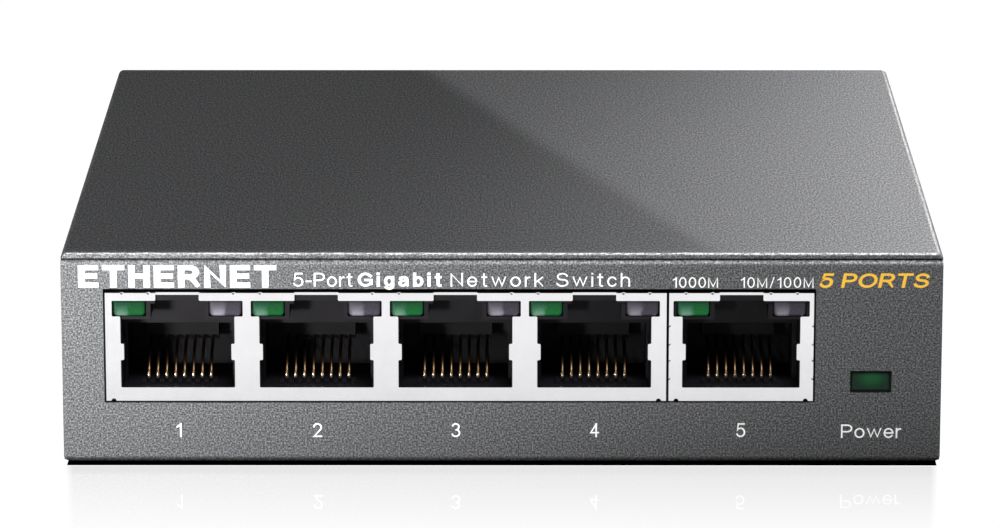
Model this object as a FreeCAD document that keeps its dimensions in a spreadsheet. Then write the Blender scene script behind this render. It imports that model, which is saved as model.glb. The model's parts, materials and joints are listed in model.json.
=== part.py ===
import FreeCAD, Part
import math
import os
import re
import Sketcher

# A five-port desktop network switch in a folded steel case.
# The origin is on the desk under the middle of the case: +X is to the right seen from the ports,
# +Y runs back from the ports to the power inlet, and +Z is up. Lengths are in millimetres.

DRIVING = {
    # case
    "case_width": 99.8,
    "case_depth": 98,
    "case_height": 25,
    "foot_gap": 0.5,
    "sheet": 0.6,
    "bend": 0.7,
    "seam": 0.1,
    "flange": 5,
    "lower_corner": 0.8,
    "upper_corner": 0.25,
    "lip_setback": 0.1,
    "lip_round": 0.3,
    "vent_width": 2.2,
    "vent_length": 9,
    "vent_pitch": 5,
    "vent_count": 12,
    "vent_height": 14.5,
    # feet, wall hooks and screws
    "foot_x": 40,
    "foot_y": 38.5,
    "foot_radius": 5,
    "foot_thickness": 1.5,
    "foot_chamfer": 0.4,
    "dimple_depth": 1,
    "dimple_play": 0.3,
    "screw_x": 44.6,
    "screw_y": 15,
    "screw_radius": 1.45,
    "screw_head_radius": 2.6,
    "screw_head": 0.9,
    "screw_length": 2.7,
    "board_screw_length": 5.1,
    "screw_chamfer": 0.3,
    "recess_arm": 1.3,
    "recess_web": 0.25,
    "recess_depth": 0.6,
    "tapped_radius": 1.5,
    "clear_radius": 1.7,
    "tab_length": 9,
    "tab_width": 10,
    "hook_x": 30,
    "hook_head_radius": 3.5,
    "hook_slot_radius": 1.8,
    "hook_travel": 7,
    "label_width": 44,
    "label_depth": 26,
    "label_thickness": 0.1,
    "label_corner": 2,
    # circuit board
    "board_top": 7.7,
    "board_thickness": 1.6,
    "board_width": 95,
    "board_front": -46.8,
    "board_rear": 46.8,
    "post_x": 42,
    "post_y": 25,
    "post_radius": 2.8,
    "post_shank": 2,
    "post_play": 0.1,
    # sockets
    "gang_x": -13.14,
    "gang_width": 63.6,
    "port_pitch": 15.75,
    "single_x": 27.15,
    "single_width": 16.4,
    "jack_height": 12.65,
    "jack_depth": 21,
    "jack_inset": 0.1,
    "shield_sheet": 0.3,
    "cutout_play": 0.22,
    "cutout_top_play": 0.5,
    "mouth_half": 6.47,
    "single_mouth_half": 6.68,
    "mouth_low": 9.27,
    "mouth_high": 17.6,
    "finger_low": 12.5,
    "finger_high": 14.4,
    "finger_reach": 0.38,
    "finger_sheet": 0.21,
    "finger_depth": 4.6,
    "punched_corner": 0.14,
    "nick_inset": 3.4,
    "nick_spread": 1.5,
    "top_nick": 0.19,
    "side_nick": 0.26,
    "low_nick": 0.28,
    "low_nick_inset": 0.85,
    "window_high": 19.44,
    "window_outer": 7.42,
    "single_window_outer": 7.72,
    "latch_half": 2.46,
    "slot_half": 3.05,
    "slot_high": 19,
    "socket_floor": 8.75,
    "socket_roof": 15.6,
    "socket_half": 6,
    "mouth_step": 0.12,
    "mouth_head": 0.4,
    "mouth_depth": 4.9,
    "socket_depth": 12.4,
    "housing_play": 0.05,
    "housing_heel": 0.7,
    "nose_half": 4.15,
    "nose_low": 12.35,
    "nose_high": 14.25,
    "nose_reach": 2.5,
    "carrier_wall": 1.7,
    "carrier_half": 4.5,
    "carrier_high": 14.9,
    "carrier_depth": 6,
    "carrier_play": 0.1,
    "comb_front": 3.5,
    "comb_rear": 5.2,
    "comb_half": 0.26,
    "comb_height": 0.4,
    # sprung wires
    "contact_pitch": 1.016,
    "contact_width": 0.36,
    "contact_thickness": 0.28,
    "contact_level": 12.75,
    "contact_bend": 9.4,
    "contact_tip": 4.3,
    "contact_low": 9.3,
    "contact_curl": 0.3,
    "tail_offset": 4,
    "tail_length": 0.7,
    "tail_hole": 0.42,
    # lamps beside each latch
    "led_inner": 3.6,
    "led_outer": 7.3,
    "led_fit": 0.06,
    "led_recess": 0.12,
    "led_length": 12.9,
    "led_dome": 0.35,
    "led_corner": 0.5,
    "leg_width": 0.5,
    "leg_spread": 0.9,
    "leg_level": 18.45,
    # power light
    "light_x": 41.9,
    "light_z": 9.95,
    "light_width": 4.36,
    "light_height": 2.25,
    "light_play": 0.18,
    "light_inset": 0.35,
    "light_collar": 0.8,
    "light_depth": 5,
    "light_round": 0.2,
    "led_gap": 0.2,
    "led_body": 1.4,
    # rear panel
    "inlet_x": 30,
    "inlet_width": 9,
    "inlet_height": 11,
    "inlet_depth": 14.2,
    "inlet_axis": 6.5,
    "inlet_bore": 3.15,
    "inlet_bore_depth": 9.6,
    "inlet_corner": 1.2,
    "inlet_pin": 1,
    "inlet_pin_inset": 1,
    "leaf_half": 1.5,
    "leaf_sheet": 0.3,
    "leaf_play": 0.2,
    "leaf_front": 2.5,
    "leaf_length": 6.5,
    "reset_x": 12,
    "reset_z": 9.6,
    "reset_hole": 1.25,
    "reset_stem": 0.9,
    "reset_flange": 1.5,
    "reset_flange_depth": 0.7,
    "reset_play": 0.08,
    "reset_half": 3,
    "reset_height": 3.8,
    "reset_depth": 3.4,
    "reset_well": 1.9,
    "reset_well_play": 0.25,
    "reset_behind": 1.9,
    "reset_cap": 0.25,
    "reset_tip": 0.2,
    "dome_height": 0.45,
    "dome_sheet": 0.1,
    # parts on the board
    "lan_y": -14.2,
    "lan_width": 11.2,
    "lan_depth": 14,
    "lan_height": 5.6,
    "lead_sheet": 0.2,
    "lead_width": 0.3,
    "chip_lift": 0.1,
    "chip_bevel": 0.25,
    "chip_x": 2,
    "chip_y": 11,
    "chip_size": 14,
    "chip_height": 1.4,
    "pad_size": 12.8,
    "pad_thickness": 0.5,
    "sink_size": 22,
    "sink_base": 1.6,
    "sink_height": 8,
    "fin_count": 7,
    "fin_gap": 2,
    "fin_sheet": 1,
    "crystal_x": -22,
    "crystal_y": 18,
    "crystal_reach": 5.6,
    "crystal_half": 1.9,
    "crystal_height": 3.4,
    "crystal_rim": 0.4,
    "coil_size": 6,
    "coil_height": 3,
    "can_radius": 3.15,
    "can_height": 7.7,
    "can_foot": 1,
    "can_roll": 0.2,
    "resistor_length": 1.6,
    "resistor_width": 0.8,
    "resistor_height": 0.5,
}

FRONT = "-case_depth / 2"
REAR = "case_depth / 2"
FLOOR = "(foot_gap + sheet)"
PANEL_TOP = "(case_height - sheet - seam)"
JACK_FRONT = "(jack_inset - case_depth / 2)"
JACK_REAR = "(jack_inset - case_depth / 2 + jack_depth)"
JACK_TOP = "(board_top + jack_height)"

doc = FreeCAD.newDocument("NetworkSwitch")
dims = doc.addObject("Spreadsheet::Sheet", "Dims")
for row, (alias, number) in enumerate(DRIVING.items(), start=1):
    dims.set("A%d" % row, alias)
    dims.set("B%d" % row, str(number))
    dims.setAlias("B%d" % row, alias)
doc.recompute()

subparts = []


def named(text):
    """An expression of the sheet's names, as the document writes it."""
    return re.sub(r"[a-z]\w+", r"Dims.\g<0>", str(text))


def value(text):
    """The number that an expression of the sheet's names comes to."""
    return float(dims.evalExpression(named(text)))


def bind(item, field, text):
    item.setExpression(field, named(text))


def keep(item, label):
    """Names an object as one of the switch's sub-parts."""
    item.Label = label
    subparts.append(item)
    return item


# Sketches and features


def new_body(label):
    return keep(doc.addObject("PartDesign::Body", label), label)


def sketch(body, plane, outlines=(), circles=(), offset="0"):
    """Closed outlines and circles on one of the body's origin planes, all bound to the sheet."""
    drawing = body.newObject("Sketcher::SketchObject", body.Name + "_outline")
    origin_plane = next(item for item in body.Origin.OriginFeatures if item.Role == plane)
    drawing.AttachmentSupport = [(origin_plane, "")]
    drawing.MapMode = "FlatFace"
    bind(drawing, "AttachmentOffset.Base.z", offset)

    def place(geometry, point, across, up):
        for kind, text in (("DistanceX", across), ("DistanceY", up)):
            rule = Sketcher.Constraint(kind, -1, 1, geometry, point, value(text))
            bind(drawing, "Constraints[%d]" % drawing.addConstraint(rule), text)

    for outline in outlines:
        first = drawing.GeometryCount
        corners = [FreeCAD.Vector(value(across), value(up), 0) for across, up in outline]
        for here, there in zip(corners, corners[1:] + corners[:1]):
            drawing.addGeometry(Part.LineSegment(here, there), False)
        for step, (across, up) in enumerate(outline):
            line = first + step
            following = first + (step + 1) % len(outline)
            drawing.addConstraint(Sketcher.Constraint("Coincident", line, 2, following, 1))
            place(line, 1, across, up)
    for across, up, radius in circles:
        centre = FreeCAD.Vector(value(across), value(up), 0)
        circle = drawing.addGeometry(Part.Circle(centre, FreeCAD.Vector(0, 0, 1), value(radius)), False)
        rule = Sketcher.Constraint("Radius", circle, value(radius))
        bind(drawing, "Constraints[%d]" % drawing.addConstraint(rule), radius)
        place(circle, 3, across, up)
    return drawing


def rectangle(left, right, low, high):
    return [(left, low), (right, low), (right, high), (left, high)]


def sided(text, side):
    """The expression on the right (+1) or left (-1) of the middle."""
    return "(%d) * (%s)" % (side, text)


def corners_of(*halves):
    """The four places that are alike about the middle."""
    return [tuple(sided(half, side) for half, side in zip(halves, sides))
            for sides in ((-1, -1), (1, -1), (1, 1), (-1, 1))]


def pad(body, drawing, length, both_ways=False, backwards=False):
    feature = body.newObject("PartDesign::Pad", body.Name + "_pad")
    feature.Profile = drawing
    feature.SideType = "Symmetric" if both_ways else "One side"
    feature.Reversed = backwards
    bind(feature, "Length", length)
    doc.recompute()
    return feature


def pocket(body, drawing, length=None, backwards=False):
    """A cut of some length against the sketch's normal, or right through both ways with no length."""
    before = body.Shape.Volume
    feature = body.newObject("PartDesign::Pocket", body.Name + "_pocket")
    feature.Profile = drawing
    feature.Reversed = backwards
    if length is None:
        feature.Type = "ThroughAll"
        feature.SideType = "Symmetric"
    else:
        bind(feature, "Length", length)
    doc.recompute()
    if body.Shape.Volume > before - 1e-4:
        raise ValueError("a pocket of %s cuts nothing" % body.Label)
    return feature


def revolve(body, drawing, axis):
    feature = body.newObject("PartDesign::Revolution", body.Name + "_turned")
    feature.Profile = drawing
    line = next(item for item in body.Origin.OriginFeatures if item.Role == axis)
    feature.ReferenceAxis = (line, [""])
    feature.Angle = 360
    doc.recompute()
    return feature


def edges_at(shape, **limits):
    """The edges whose middle is at the stated x, y or z, each a number or a test of one."""
    found = []
    for number, edge in enumerate(shape.Edges, start=1):
        middle = edge.BoundBox.Center
        spans = {"x": edge.BoundBox.XLength, "y": edge.BoundBox.YLength, "z": edge.BoundBox.ZLength}
        straight = all(spans[axis] < 1e-4 for axis in limits)
        if straight and all(test(getattr(middle, axis)) for axis, test in limits.items()):
            found.append("Edge%d" % number)
    return found


def near(*numbers):
    return lambda position: any(abs(position - number) < 1e-3 for number in numbers)


def soften(body, kind, edges, size):
    """A Fillet or a Chamfer on the edges named."""
    base = body.Tip
    feature = body.newObject("PartDesign::" + kind, body.Name + "_" + kind.lower())
    feature.Base = (base, edges)
    bind(feature, "Radius" if kind == "Fillet" else "Size", size)
    doc.recompute()
    return feature


# Primitives and booleans


def box(x, y, z):
    """A block between pairs of limits."""
    block = doc.addObject("Part::Box", "block")
    for side, axis, (low, high) in (("Length", "x", x), ("Width", "y", y), ("Height", "z", z)):
        bind(block, "Placement.Base." + axis, low)
        bind(block, side, "(%s) - (%s)" % (high, low))
    return block


def across(middle, half):
    return ("%s - (%s)" % (middle, half), "%s + (%s)" % (middle, half))


def fuse(pieces, label=None):
    whole = doc.addObject("Part::MultiFuse", label or "joined")
    whole.Shapes = pieces
    whole.Refine = True
    return keep(whole, label) if label else whole


def cut(base, tools, label=None):
    whole = doc.addObject("Part::Cut", label or "cut")
    whole.Base = base
    whole.Tool = tools[0] if len(tools) == 1 else fuse(tools)
    whole.Refine = True
    return keep(whole, label) if label else whole


def formed(shape, label):
    """A sub-part whose shape is worked out from the sheet's numbers."""
    item = doc.addObject("Part::Feature", label)
    item.Shape = shape
    item.Placement = FreeCAD.Placement()
    return keep(item, label)


def repeated(form, places, label):
    """Identical pieces, one at each place, kept as one group of separate solids."""
    doc.recompute()
    subparts.remove(form)
    spots = [FreeCAD.Vector(*[value(text) for text in place]) for place in places]
    return formed(Part.makeCompound([form.Shape.translated(spot) for spot in spots]), label)


def prism(points, low, high):
    """An outline of (y, z) points, carried along X from low to high."""
    corners = [FreeCAD.Vector(low, y, z) for y, z in points]
    face = Part.Face(Part.makePolygon(corners + corners[:1]))
    return face.extrude(FreeCAD.Vector(high - low, 0, 0))


def strip_outline(path, thickness):
    """The outline of a thin strip bent along a path of (y, z) points."""
    sides = ([], [])
    for step, (y, z) in enumerate(path):
        ahead = path[min(step + 1, len(path) - 1)]
        behind = path[max(step - 1, 0)]
        into = math.atan2(z - behind[1], y - behind[0]) if step else None
        out = math.atan2(ahead[1] - z, ahead[0] - y) if step < len(path) - 1 else into
        into = out if into is None else into
        half_turn = math.remainder(out - into, 2 * math.pi) / 2
        reach = thickness / 2 / math.cos(half_turn)
        normal = into + half_turn + math.pi / 2
        sides[0].append((y + reach * math.cos(normal), z + reach * math.sin(normal)))
        sides[1].append((y - reach * math.cos(normal), z - reach * math.sin(normal)))
    return sides[0] + sides[1][::-1]


# The folded steel case


def chassis_tray():
    """Front panel, bottom and rear panel, folded from one sheet."""
    body = new_body("chassis_tray")
    pad(body, sketch(body, "YZ_Plane", [rectangle(FRONT, REAR, "foot_gap", PANEL_TOP)]),
        "case_width", both_ways=True)
    half_depth = value(REAR)
    folds = near(value("foot_gap"), value(PANEL_TOP))
    soften(body, "Fillet", edges_at(body.Shape, y=near(-half_depth, half_depth), z=folds), "bend")
    hollow = rectangle(FRONT + " + sheet", REAR + " - sheet", FLOOR, PANEL_TOP + " - sheet")
    pocket(body, sketch(body, "YZ_Plane", [hollow]))
    open_top = rectangle("-case_width", "case_width", FRONT + " + flange", REAR + " - flange")
    pocket(body, sketch(body, "XY_Plane", [open_top], offset=PANEL_TOP + " + 1"), "sheet + 2")

    # The panels' outer corners are rounded.
    frame = rectangle("-case_width", "case_width", "-1", "case_height + 1")
    inner = rounded_panel()
    pocket(body, trimmed_sketch(body, frame, inner))

    # The bottom and flanges are narrower than the panels, so that the cover's sides pass them.
    side_room = [rectangle(sided("case_width / 2 - sheet - seam", side), sided("case_width", side),
                           FRONT + " + sheet", REAR + " - sheet") for side in (-1, 1)]
    pocket(body, sketch(body, "XY_Plane", side_room))

    # Round dimples hold the feet and the cover's screws.
    feet = [place + ("foot_radius + dimple_play",) for place in corners_of("foot_x", "foot_y")]
    screws = [place + ("screw_head_radius + dimple_play",) for place in corners_of("screw_x", "screw_y")]
    hollows = feet + screws
    raised = [(x, y, radius + " + sheet") for x, y, radius in hollows]
    pad(body, sketch(body, "XY_Plane", circles=raised, offset="foot_gap + sheet / 2"),
        "dimple_depth + sheet / 2")
    pocket(body, sketch(body, "XY_Plane", circles=hollows, offset="foot_gap - 1"),
           "dimple_depth + 1", backwards=True)
    holes = [place + ("clear_radius",) for place in corners_of("screw_x", "screw_y")]
    holes += [place + ("post_shank + post_play",) for place in corners_of("post_x", "post_y")]
    pocket(body, sketch(body, "XY_Plane", circles=holes))

    # Two keyholes hang the case on wall screws.
    entries = [(sided("hook_x", side), "-hook_travel / 2", "hook_head_radius") for side in (-1, 1)]
    pocket(body, sketch(body, "XY_Plane", circles=entries))
    slot_ends = [(sided("hook_x", side), "hook_travel / 2", "hook_slot_radius") for side in (-1, 1)]
    pocket(body, sketch(body, "XY_Plane", circles=slot_ends))
    slots = [rectangle(*across(sided("hook_x", side), "hook_slot_radius"),
                       "-hook_travel / 2", "hook_travel / 2") for side in (-1, 1)]
    pocket(body, sketch(body, "XY_Plane", slots))

    # Front panel: one opening for the sockets and one for the power light.
    sockets = rectangle("gang_x - gang_width / 2 - cutout_play",
                        "single_x + single_width / 2 + cutout_play",
                        "board_top - cutout_play", JACK_TOP + " + cutout_top_play")
    light = rectangle(*across("light_x", "light_width / 2 + light_play"),
                      *across("light_z", "light_height / 2 + light_play"))
    pocket(body, sketch(body, "XZ_Plane", [sockets, light], offset="case_depth / 2 + 1"), "sheet + 1.2")

    # Rear panel: the power inlet and the pin hole over the reset switch.
    inlet = rectangle(*across("inlet_x", "inlet_width / 2 + cutout_play"),
                      "board_top - cutout_play", "board_top + inlet_height + cutout_play")
    pocket(body, sketch(body, "XZ_Plane", [inlet], [("reset_x", "reset_z", "reset_hole")],
                        offset="-case_depth / 2 - 1"), "sheet + 1.2", backwards=True)
    return body


def rounded_panel():
    return rectangle("-case_width / 2", "case_width / 2", "foot_gap", PANEL_TOP)


def trimmed_sketch(body, frame, inner):
    """Everything outside the panel's outline, whose corners are rounded by arcs."""
    drawing = sketch(body, "XZ_Plane", [frame])
    (left, low), (right, _), (_, high), _ = inner
    radii = ("lower_corner", "lower_corner", "upper_corner", "upper_corner")
    corners = [(left, low, 1, 1), (right, low, -1, 1), (right, high, -1, -1), (left, high, 1, -1)]
    first = drawing.GeometryCount
    for turn, ((x, z, inward_x, inward_z), radius) in enumerate(zip(corners, radii)):
        centre = FreeCAD.Vector(value(x) + inward_x * value(radius), value(z) + inward_z * value(radius), 0)
        circle = Part.Circle(centre, FreeCAD.Vector(0, 0, 1), value(radius))
        start = math.pi + turn * math.pi / 2
        drawing.addGeometry(Part.ArcOfCircle(circle, start, start + math.pi / 2), False)
        rule = Sketcher.Constraint("Radius", first + turn, value(radius))
        bind(drawing, "Constraints[%d]" % drawing.addConstraint(rule), radius)
        for kind, edge, inward in (("DistanceX", x, inward_x), ("DistanceY", z, inward_z)):
            text = "%s + (%d) * %s" % (edge, inward, radius)
            rule = Sketcher.Constraint(kind, -1, 1, first + turn, 3, value(text))
            bind(drawing, "Constraints[%d]" % drawing.addConstraint(rule), text)
    for turn in range(4):
        here, there = first + turn, first + (turn + 1) % 4
        ends = (drawing.getPoint(here, 2), drawing.getPoint(there, 1))
        line = drawing.addGeometry(Part.LineSegment(*ends), False)
        drawing.addConstraint(Sketcher.Constraint("Tangent", here, 2, line, 1))
        drawing.addConstraint(Sketcher.Constraint("Tangent", line, 2, there, 1))
    return drawing


def top_cover():
    """Top and both sides, folded from one sheet, with tabs that take the screws."""
    body = new_body("top_cover")
    lip = REAR + " - lip_setback"
    outside = rectangle("-case_width / 2", "case_width / 2", "foot_gap + seam", "case_height")
    pad(body, sketch(body, "XZ_Plane", [outside]), "case_depth - 2 * lip_setback", both_ways=True)
    half_width = value("case_width / 2")
    top = near(value("case_height"))
    soften(body, "Fillet", edges_at(body.Shape, x=near(-half_width, half_width), z=top), "bend")
    inside = rectangle("-case_width / 2 + sheet", "case_width / 2 - sheet", "-1", "case_height - sheet")
    pocket(body, sketch(body, "XZ_Plane", [inside]))

    # The sides stop behind the panels, and only the top reaches over them.
    behind = [rectangle(sided(REAR + " - sheet - seam", side), sided("case_depth", side),
                        "-1", "case_height - sheet") for side in (-1, 1)]
    pocket(body, sketch(body, "YZ_Plane", behind))
    rim = near(-value(lip), value(lip))
    soften(body, "Fillet", edges_at(body.Shape, y=rim, z=top), "lip_round")

    # Screw tabs, folded in from the lower edge of each side.
    under_tab = "foot_gap + dimple_depth + sheet + seam"
    relief = [rectangle(*across(sided("screw_y", end), "tab_width / 2 + seam"), "-1", under_tab)
              for end in (-1, 1)]
    pocket(body, sketch(body, "YZ_Plane", relief))
    tabs = [rectangle(sided("case_width / 2 - tab_length", side), sided("case_width / 2 - sheet / 2", side),
                      *across(sided("screw_y", end), "tab_width / 2"))
            for side in (-1, 1) for end in (-1, 1)]
    pad(body, sketch(body, "XY_Plane", tabs, offset=under_tab), "sheet")
    holes = [place + ("tapped_radius",) for place in corners_of("screw_x", "screw_y")]
    pocket(body, sketch(body, "XY_Plane", circles=holes, offset=under_tab + " + sheet + 1"), "sheet + 2")

    # A row of upright vent slots through both sides.
    start = "(1 - vent_count) * vent_pitch / 2"
    straight = "(vent_length - vent_width) / 2"
    slot = sketch(body, "YZ_Plane", [rectangle(*across(start, "vent_width / 2"),
                                               *across("vent_height", straight))])
    top_ends = sketch(body, "YZ_Plane", circles=[(start, "vent_height + " + straight, "vent_width / 2")])
    low_ends = sketch(body, "YZ_Plane", circles=[(start, "vent_height - " + straight, "vent_width / 2")])
    cuts = [pocket(body, drawing) for drawing in (slot, top_ends, low_ends)]
    row = body.newObject("PartDesign::LinearPattern", "vent_row")
    row.Originals = cuts
    row.Direction = (slot, ["H_Axis"])
    bind(row, "Length", "(vent_count - 1) * vent_pitch")
    row.Occurrences = int(value("vent_count"))
    body.Tip = row
    doc.recompute()
    return body


def rubber_feet():
    form = new_body("rubber_foot")
    section = [("0", "0"), ("foot_radius - foot_chamfer", "0"), ("foot_radius", "foot_chamfer"),
               ("foot_radius", "foot_thickness"), ("0", "foot_thickness")]
    revolve(form, sketch(form, "XZ_Plane", [section]), "Z_Axis")
    places = [place + ("0",) for place in corners_of("foot_x", "foot_y")]
    return repeated(form, places, "rubber_feet")


def screw(label, length):
    """A pan-head screw standing on its head, with a cross recess."""
    form = new_body(label)
    head, shank = "screw_head_radius", "screw_radius"
    section = [("0", "0"), (head + " - screw_chamfer", "0"), (head, "screw_chamfer"), (head, "screw_head"),
               (shank, "screw_head"), (shank, length + " - screw_chamfer"),
               (shank + " - screw_chamfer", length), ("0", length)]
    revolve(form, sketch(form, "XZ_Plane", [section]), "Z_Axis")
    for wide, deep in (("recess_arm", "recess_web"), ("recess_web", "recess_arm")):
        slot = [rectangle(*across("0", wide), *across("0", deep))]
        pocket(form, sketch(form, "XY_Plane", slot, offset="-1"), "recess_depth + 1", backwards=True)
    return form


def cover_screws():
    places = [place + ("foot_gap + dimple_depth - screw_head",)
              for place in corners_of("screw_x", "screw_y")]
    return repeated(screw("cover_screw", "screw_head + screw_length"), places, "cover_screws")


def bottom_label():
    """A blank rating plate under the bottom."""
    body = new_body("bottom_label")
    outline = [rectangle(*across("0", "label_width / 2"), *across("0", "label_depth / 2"))]
    pad(body, sketch(body, "XY_Plane", outline, offset="foot_gap - label_thickness"), "label_thickness")
    upright = edges_at(body.Shape, x=near(-value("label_width / 2"), value("label_width / 2")),
                       y=near(-value("label_depth / 2"), value("label_depth / 2")))
    soften(body, "Fillet", upright, "label_corner")
    return body


# The circuit board and what carries it

BOARD_FOOT = "(board_top - board_thickness)"


def board_posts():
    """Posts riveted into the bottom, each bored for a screw."""
    form = new_body("board_post")
    section = [("tapped_radius", "foot_gap"), ("post_shank", "foot_gap"), ("post_shank", FLOOR),
               ("post_radius", FLOOR),
               ("post_radius", BOARD_FOOT), ("tapped_radius", BOARD_FOOT)]
    revolve(form, sketch(form, "XZ_Plane", [section]), "Z_Axis")
    places = [place + ("0",) for place in corners_of("post_x", "post_y")]
    return repeated(form, places, "board_posts")


def board_screws():
    form = screw("board_screw", "screw_head + board_screw_length")
    doc.recompute()
    form.Placement = FreeCAD.Placement(FreeCAD.Vector(), FreeCAD.Rotation(FreeCAD.Vector(1, 0, 0), 180))
    places = [place + ("board_top + screw_head",) for place in corners_of("post_x", "post_y")]
    return repeated(form, places, "board_screws")


def contact_x(port, wire):
    return "%s + (%s) * contact_pitch" % (port["x"], wire - (WIRES - 1) / 2)


def circuit_board():
    body = new_body("circuit_board")
    outline = [rectangle(*across("0", "board_width / 2"), "board_front", "board_rear")]
    pad(body, sketch(body, "XY_Plane", outline, offset=BOARD_FOOT), "board_thickness")
    holes = [place + ("clear_radius",) for place in corners_of("post_x", "post_y")]
    holes += [(contact_x(port, wire), TAIL_Y, "tail_hole") for port in PORTS for wire in range(WIRES)]
    pocket(body, sketch(body, "XY_Plane", circles=holes))
    return body


# The sockets: one gang of four and a single one, each a plastic body in a tin shield

GANG = {"x": "gang_x", "width": "gang_width", "mouth": "mouth_half", "window": "window_outer"}
SINGLE = {"x": "single_x", "width": "single_width", "mouth": "single_mouth_half",
          "window": "single_window_outer"}
PORTS = [dict(GANG, x="gang_x + (%s) * port_pitch" % (place - 1.5)) for place in range(4)] + [SINGLE]
WIRES = 8
HOUSING_FRONT = "(%s + shield_sheet + housing_play)" % JACK_FRONT
HOUSING_REAR = "(%s - shield_sheet - housing_heel)" % JACK_REAR
THROUGH_FACE = "(jack_inset + shield_sheet + housing_play + 1)"
LATCH_WALL = "(%s + mouth_depth)" % JACK_FRONT
SOCKET_END = "(%s + socket_depth)" % JACK_FRONT
CARRIER_WALL = "(%s + carrier_wall)" % SOCKET_END
CARRIER_REAR = "(%s + carrier_depth)" % SOCKET_END
TAIL_Y = "(%s + tail_offset)" % SOCKET_END


def socket_shield(jack, ports, label):
    """A tin shell, open below, with a mouth, two light windows and a latch notch for each socket."""
    body = new_body(label)
    half = jack["width"] + " / 2"
    pad(body, sketch(body, "XY_Plane", [rectangle(*across(jack["x"], half), JACK_FRONT, JACK_REAR)],
                     offset="board_top"), "jack_height")
    inside = rectangle(*across(jack["x"], half + " - shield_sheet"),
                       JACK_FRONT + " + shield_sheet", JACK_REAR + " - shield_sheet")
    pocket(body, sketch(body, "XY_Plane", [inside], offset="board_top - 1"),
           "jack_height - shield_sheet + 1", backwards=True)
    fingers, mouths = [], []
    for port in ports:
        outline = []
        for side in (1, -1):
            steps = [(port["mouth"], "mouth_low"), (port["mouth"], "finger_low"),
                     (port["mouth"] + " - finger_reach", "finger_low"),
                     (port["mouth"] + " - finger_reach", "finger_high"),
                     (port["mouth"], "finger_high"), (port["mouth"], "mouth_high"),
                     (port["window"], "mouth_high"), (port["window"], "window_high"),
                     ("latch_half", "window_high"), ("latch_half", JACK_TOP + " + 1")]
            points = [("%s + (%d) * (%s)" % (port["x"], side, x), z) for x, z in steps]
            outline += points if side == 1 else points[::-1]
            reach = "%s + (%d) * (%s - finger_reach)" % (port["x"], side, port["mouth"])
            root = "%s + (%d) * finger_sheet" % (reach, side)
            fingers.append(rectangle(reach, root, "finger_low", "finger_high"))
        mouths.append(outline)
    pocket(body, sketch(body, "XZ_Plane", mouths, offset="case_depth / 2 + 1"), THROUGH_FACE)
    pad(body, sketch(body, "XZ_Plane", fingers, offset="case_depth / 2 - jack_inset"),
        "finger_depth", backwards=True)

    # The punch leaves every corner of the face a little rounded.
    sides = near(*[value(x) for outline in mouths for x, _ in outline])
    levels = near(value(JACK_TOP), *[value(z) for _, z in mouths[0]])
    soften(body, "Fillet", edges_at(body.Shape, x=sides, z=levels), "punched_corner")
    crimp_nicks(body, jack, ports)
    return body


def crimp_nicks(body, jack, ports):
    """Small round nicks that the stamping leaves in the rim of the shield's face."""
    edges = ["%s + (%d) * %s / 2" % (jack["x"], side, jack["width"]) for side in (-1, 1)]
    rims = [edges[0] + " + nick_inset", edges[1] + " - nick_inset"]
    rims += ["(%s + %s) / 2" % (here["x"], there["x"]) for here, there in zip(ports, ports[1:])]
    nicks = [("%s + (%d) * nick_spread" % (rim, side), JACK_TOP, "top_nick")
             for rim in rims for side in (-1, 1)]
    nicks += [(edges[0] + " + low_nick_inset", "board_top", "low_nick"),
              (edges[1] + " - low_nick_inset", "board_top", "low_nick")]
    if len(ports) == 1:
        nicks += [(edge, "(finger_low + finger_high) / 2 + (%s) * jack_height" % step, "side_nick")
                  for edge in edges for step in (-0.24, -0.07, 0.08, 0.25)]
    pocket(body, sketch(body, "XZ_Plane", circles=nicks, offset="case_depth / 2 + 1"), THROUGH_FACE)


def socket_housing(jack, ports, label):
    """The plastic body: sockets, lamp channels, a contact chamber behind each socket and its comb."""
    block = box(across(jack["x"], jack["width"] + " / 2 - shield_sheet - housing_play"),
                (HOUSING_FRONT, HOUSING_REAR), ("board_top", JACK_TOP + " - shield_sheet - housing_play"))
    start = HOUSING_FRONT + " - 1"
    hollows, teeth = [], []
    for port in ports:
        middle = port["x"]
        hollows += [
            box(across(middle, port["mouth"] + " - mouth_step"), (start, LATCH_WALL),
                ("socket_floor", "mouth_high - mouth_head")),
            box(across(middle, "slot_half"), (start, LATCH_WALL), ("socket_floor", "slot_high")),
            box(across(middle, "latch_half + carrier_play"), (start, LATCH_WALL),
                ("socket_floor", "slot_high + mouth_head")),
            box(across(middle, "socket_half"), (start, SOCKET_END), ("socket_floor", "socket_roof")),
            box(across(middle, "nose_half + housing_play"), (SOCKET_END + " - 1", CARRIER_WALL),
                ("nose_low - carrier_play", "nose_high + carrier_play")),
            box(across(middle, "carrier_half + carrier_play"),
                (CARRIER_WALL + " - carrier_play", CARRIER_REAR + " + carrier_play"),
                ("board_top - 1", "carrier_high + carrier_play")),
        ]
        for side in (-1, 1):
            channel = beside(port, side, "led_inner - led_fit", "led_outer + led_fit")
            hollows.append(box(channel, (start, HOUSING_REAR + " + 1"),
                               ("mouth_high - led_fit", "window_high + led_fit")))
        for tooth in range(WIRES + 1):
            teeth.append(box(across("%s + (%s) * contact_pitch" % (middle, tooth - WIRES / 2), "comb_half"),
                             (JACK_FRONT + " + comb_front", JACK_FRONT + " + comb_rear"),
                             ("socket_floor - comb_height", "socket_floor + comb_height")))
    return fuse([cut(block, hollows)] + teeth, label)


def beside(port, side, inner, outer):
    """The limits in X of what lies to the right (+1) or left (-1) of a port's middle."""
    limits = ("%s + (%d) * (%s)" % (port["x"], side, reach) for reach in (inner, outer))
    return tuple(limits)[::side]


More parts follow.
